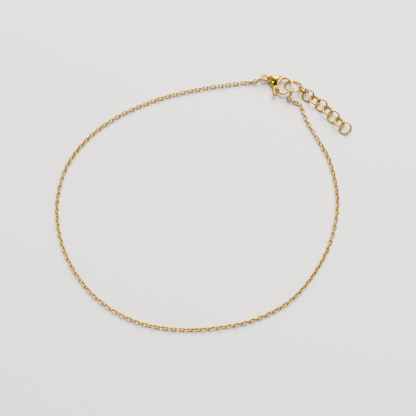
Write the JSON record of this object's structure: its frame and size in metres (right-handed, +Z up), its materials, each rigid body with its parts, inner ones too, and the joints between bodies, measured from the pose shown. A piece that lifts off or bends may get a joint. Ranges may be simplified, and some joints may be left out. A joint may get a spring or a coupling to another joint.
{
  "type": "chain anklet",
  "caption": "Fine cable-chain anklet closed by a lobster clasp, with an extender of round rings.",
  "frame": {"origin": "on the table, under the middle of the anklet's box", "axes": "+X from the loop's left to the extender's end, +Y toward the clasp, +Z up from the table"},
  "size_m": [0.0828, 0.0726, 0.0036],
  "materials": {
    "clasp": "polished gold plate on a cast clasp",
    "lever": "polished gold plate",
    "pin": "polished gold plate",
    "rings": "polished gold plate on drawn wire",
    "chain": "polished gold plate on drawn wire",
    "extender": "polished gold plate on drawn wire"
  },
  "bodies": {
    "anklet": {"clasp_body": "clasp", "clasp_pin": "pin", "connector_ring": "rings", "first_link": "chain", "fine_chain": "chain", "last_link": "chain", "chain_end_ring": "rings", "clasp_ring": "rings", "extender_ring_0": "extender", "extender_ring_1": "extender", "extender_ring_2": "extender", "extender_ring_3": "extender", "extender_ring_4": "extender", "extender_ring_5": "extender", "extender_ring_6": "extender", "extender_ring_7": "extender"},
    "lever": {"clasp_lever": "lever"}
  },
  "joints": [
    {"name": "lever_hinge", "type": "hinge", "parent": "anklet", "child": "lever", "pos_m": [0.0195, 0.03327, 0.0012], "axis": [0, 0, 1], "range_deg": [0, 8], "stiffness_Nm_per_rad": 0.005, "springref_deg": -20.05}
  ]
}
